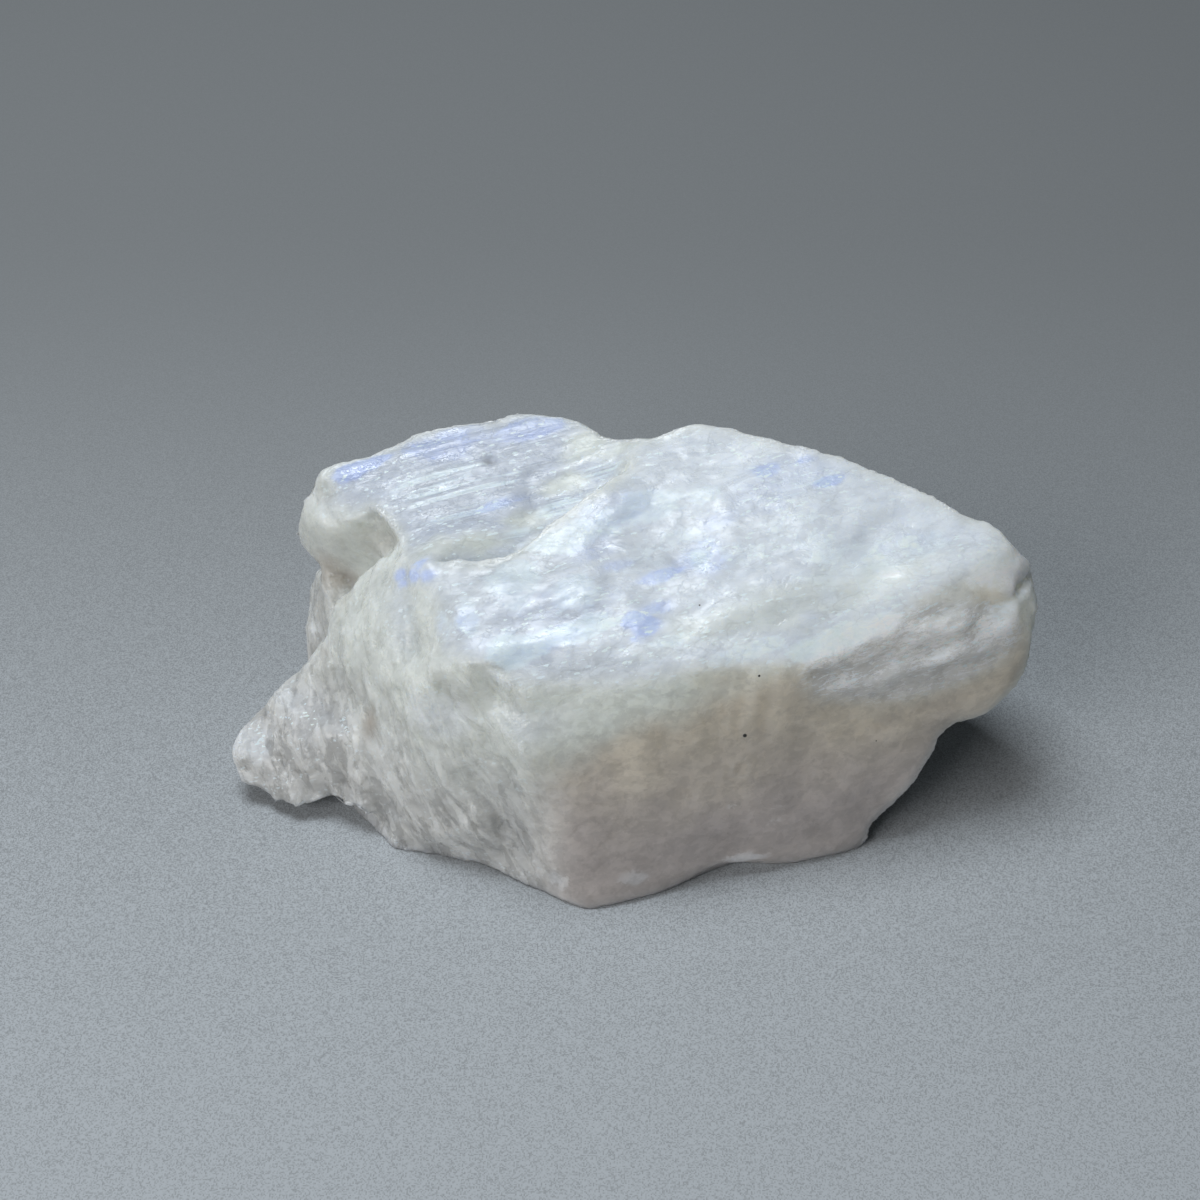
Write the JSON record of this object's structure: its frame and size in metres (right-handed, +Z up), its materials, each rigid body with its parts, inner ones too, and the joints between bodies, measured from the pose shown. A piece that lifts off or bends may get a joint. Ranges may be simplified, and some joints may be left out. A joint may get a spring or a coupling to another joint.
{
  "type": "rough moonstone",
  "caption": "Rough, uncut piece of rainbow moonstone with sloping cleavage faces, broken sides, a low toe, a ledge over a recess and a flat to rest on.",
  "frame": {"origin": "under the middle of the stone, on the surface it rests on", "axes": "+X along the stone, from the low toe to the overhanging tip; -Y is the steep front; +Z up"},
  "size_m": [0.0812, 0.0444, 0.0319],
  "materials": {
    "moonstone": "translucent milky feldspar: silky striated cleavage faces with blue schiller, waxy broken sides"
  },
  "bodies": {
    "root": {"moonstone": "moonstone"}
  },
  "joints": []
}
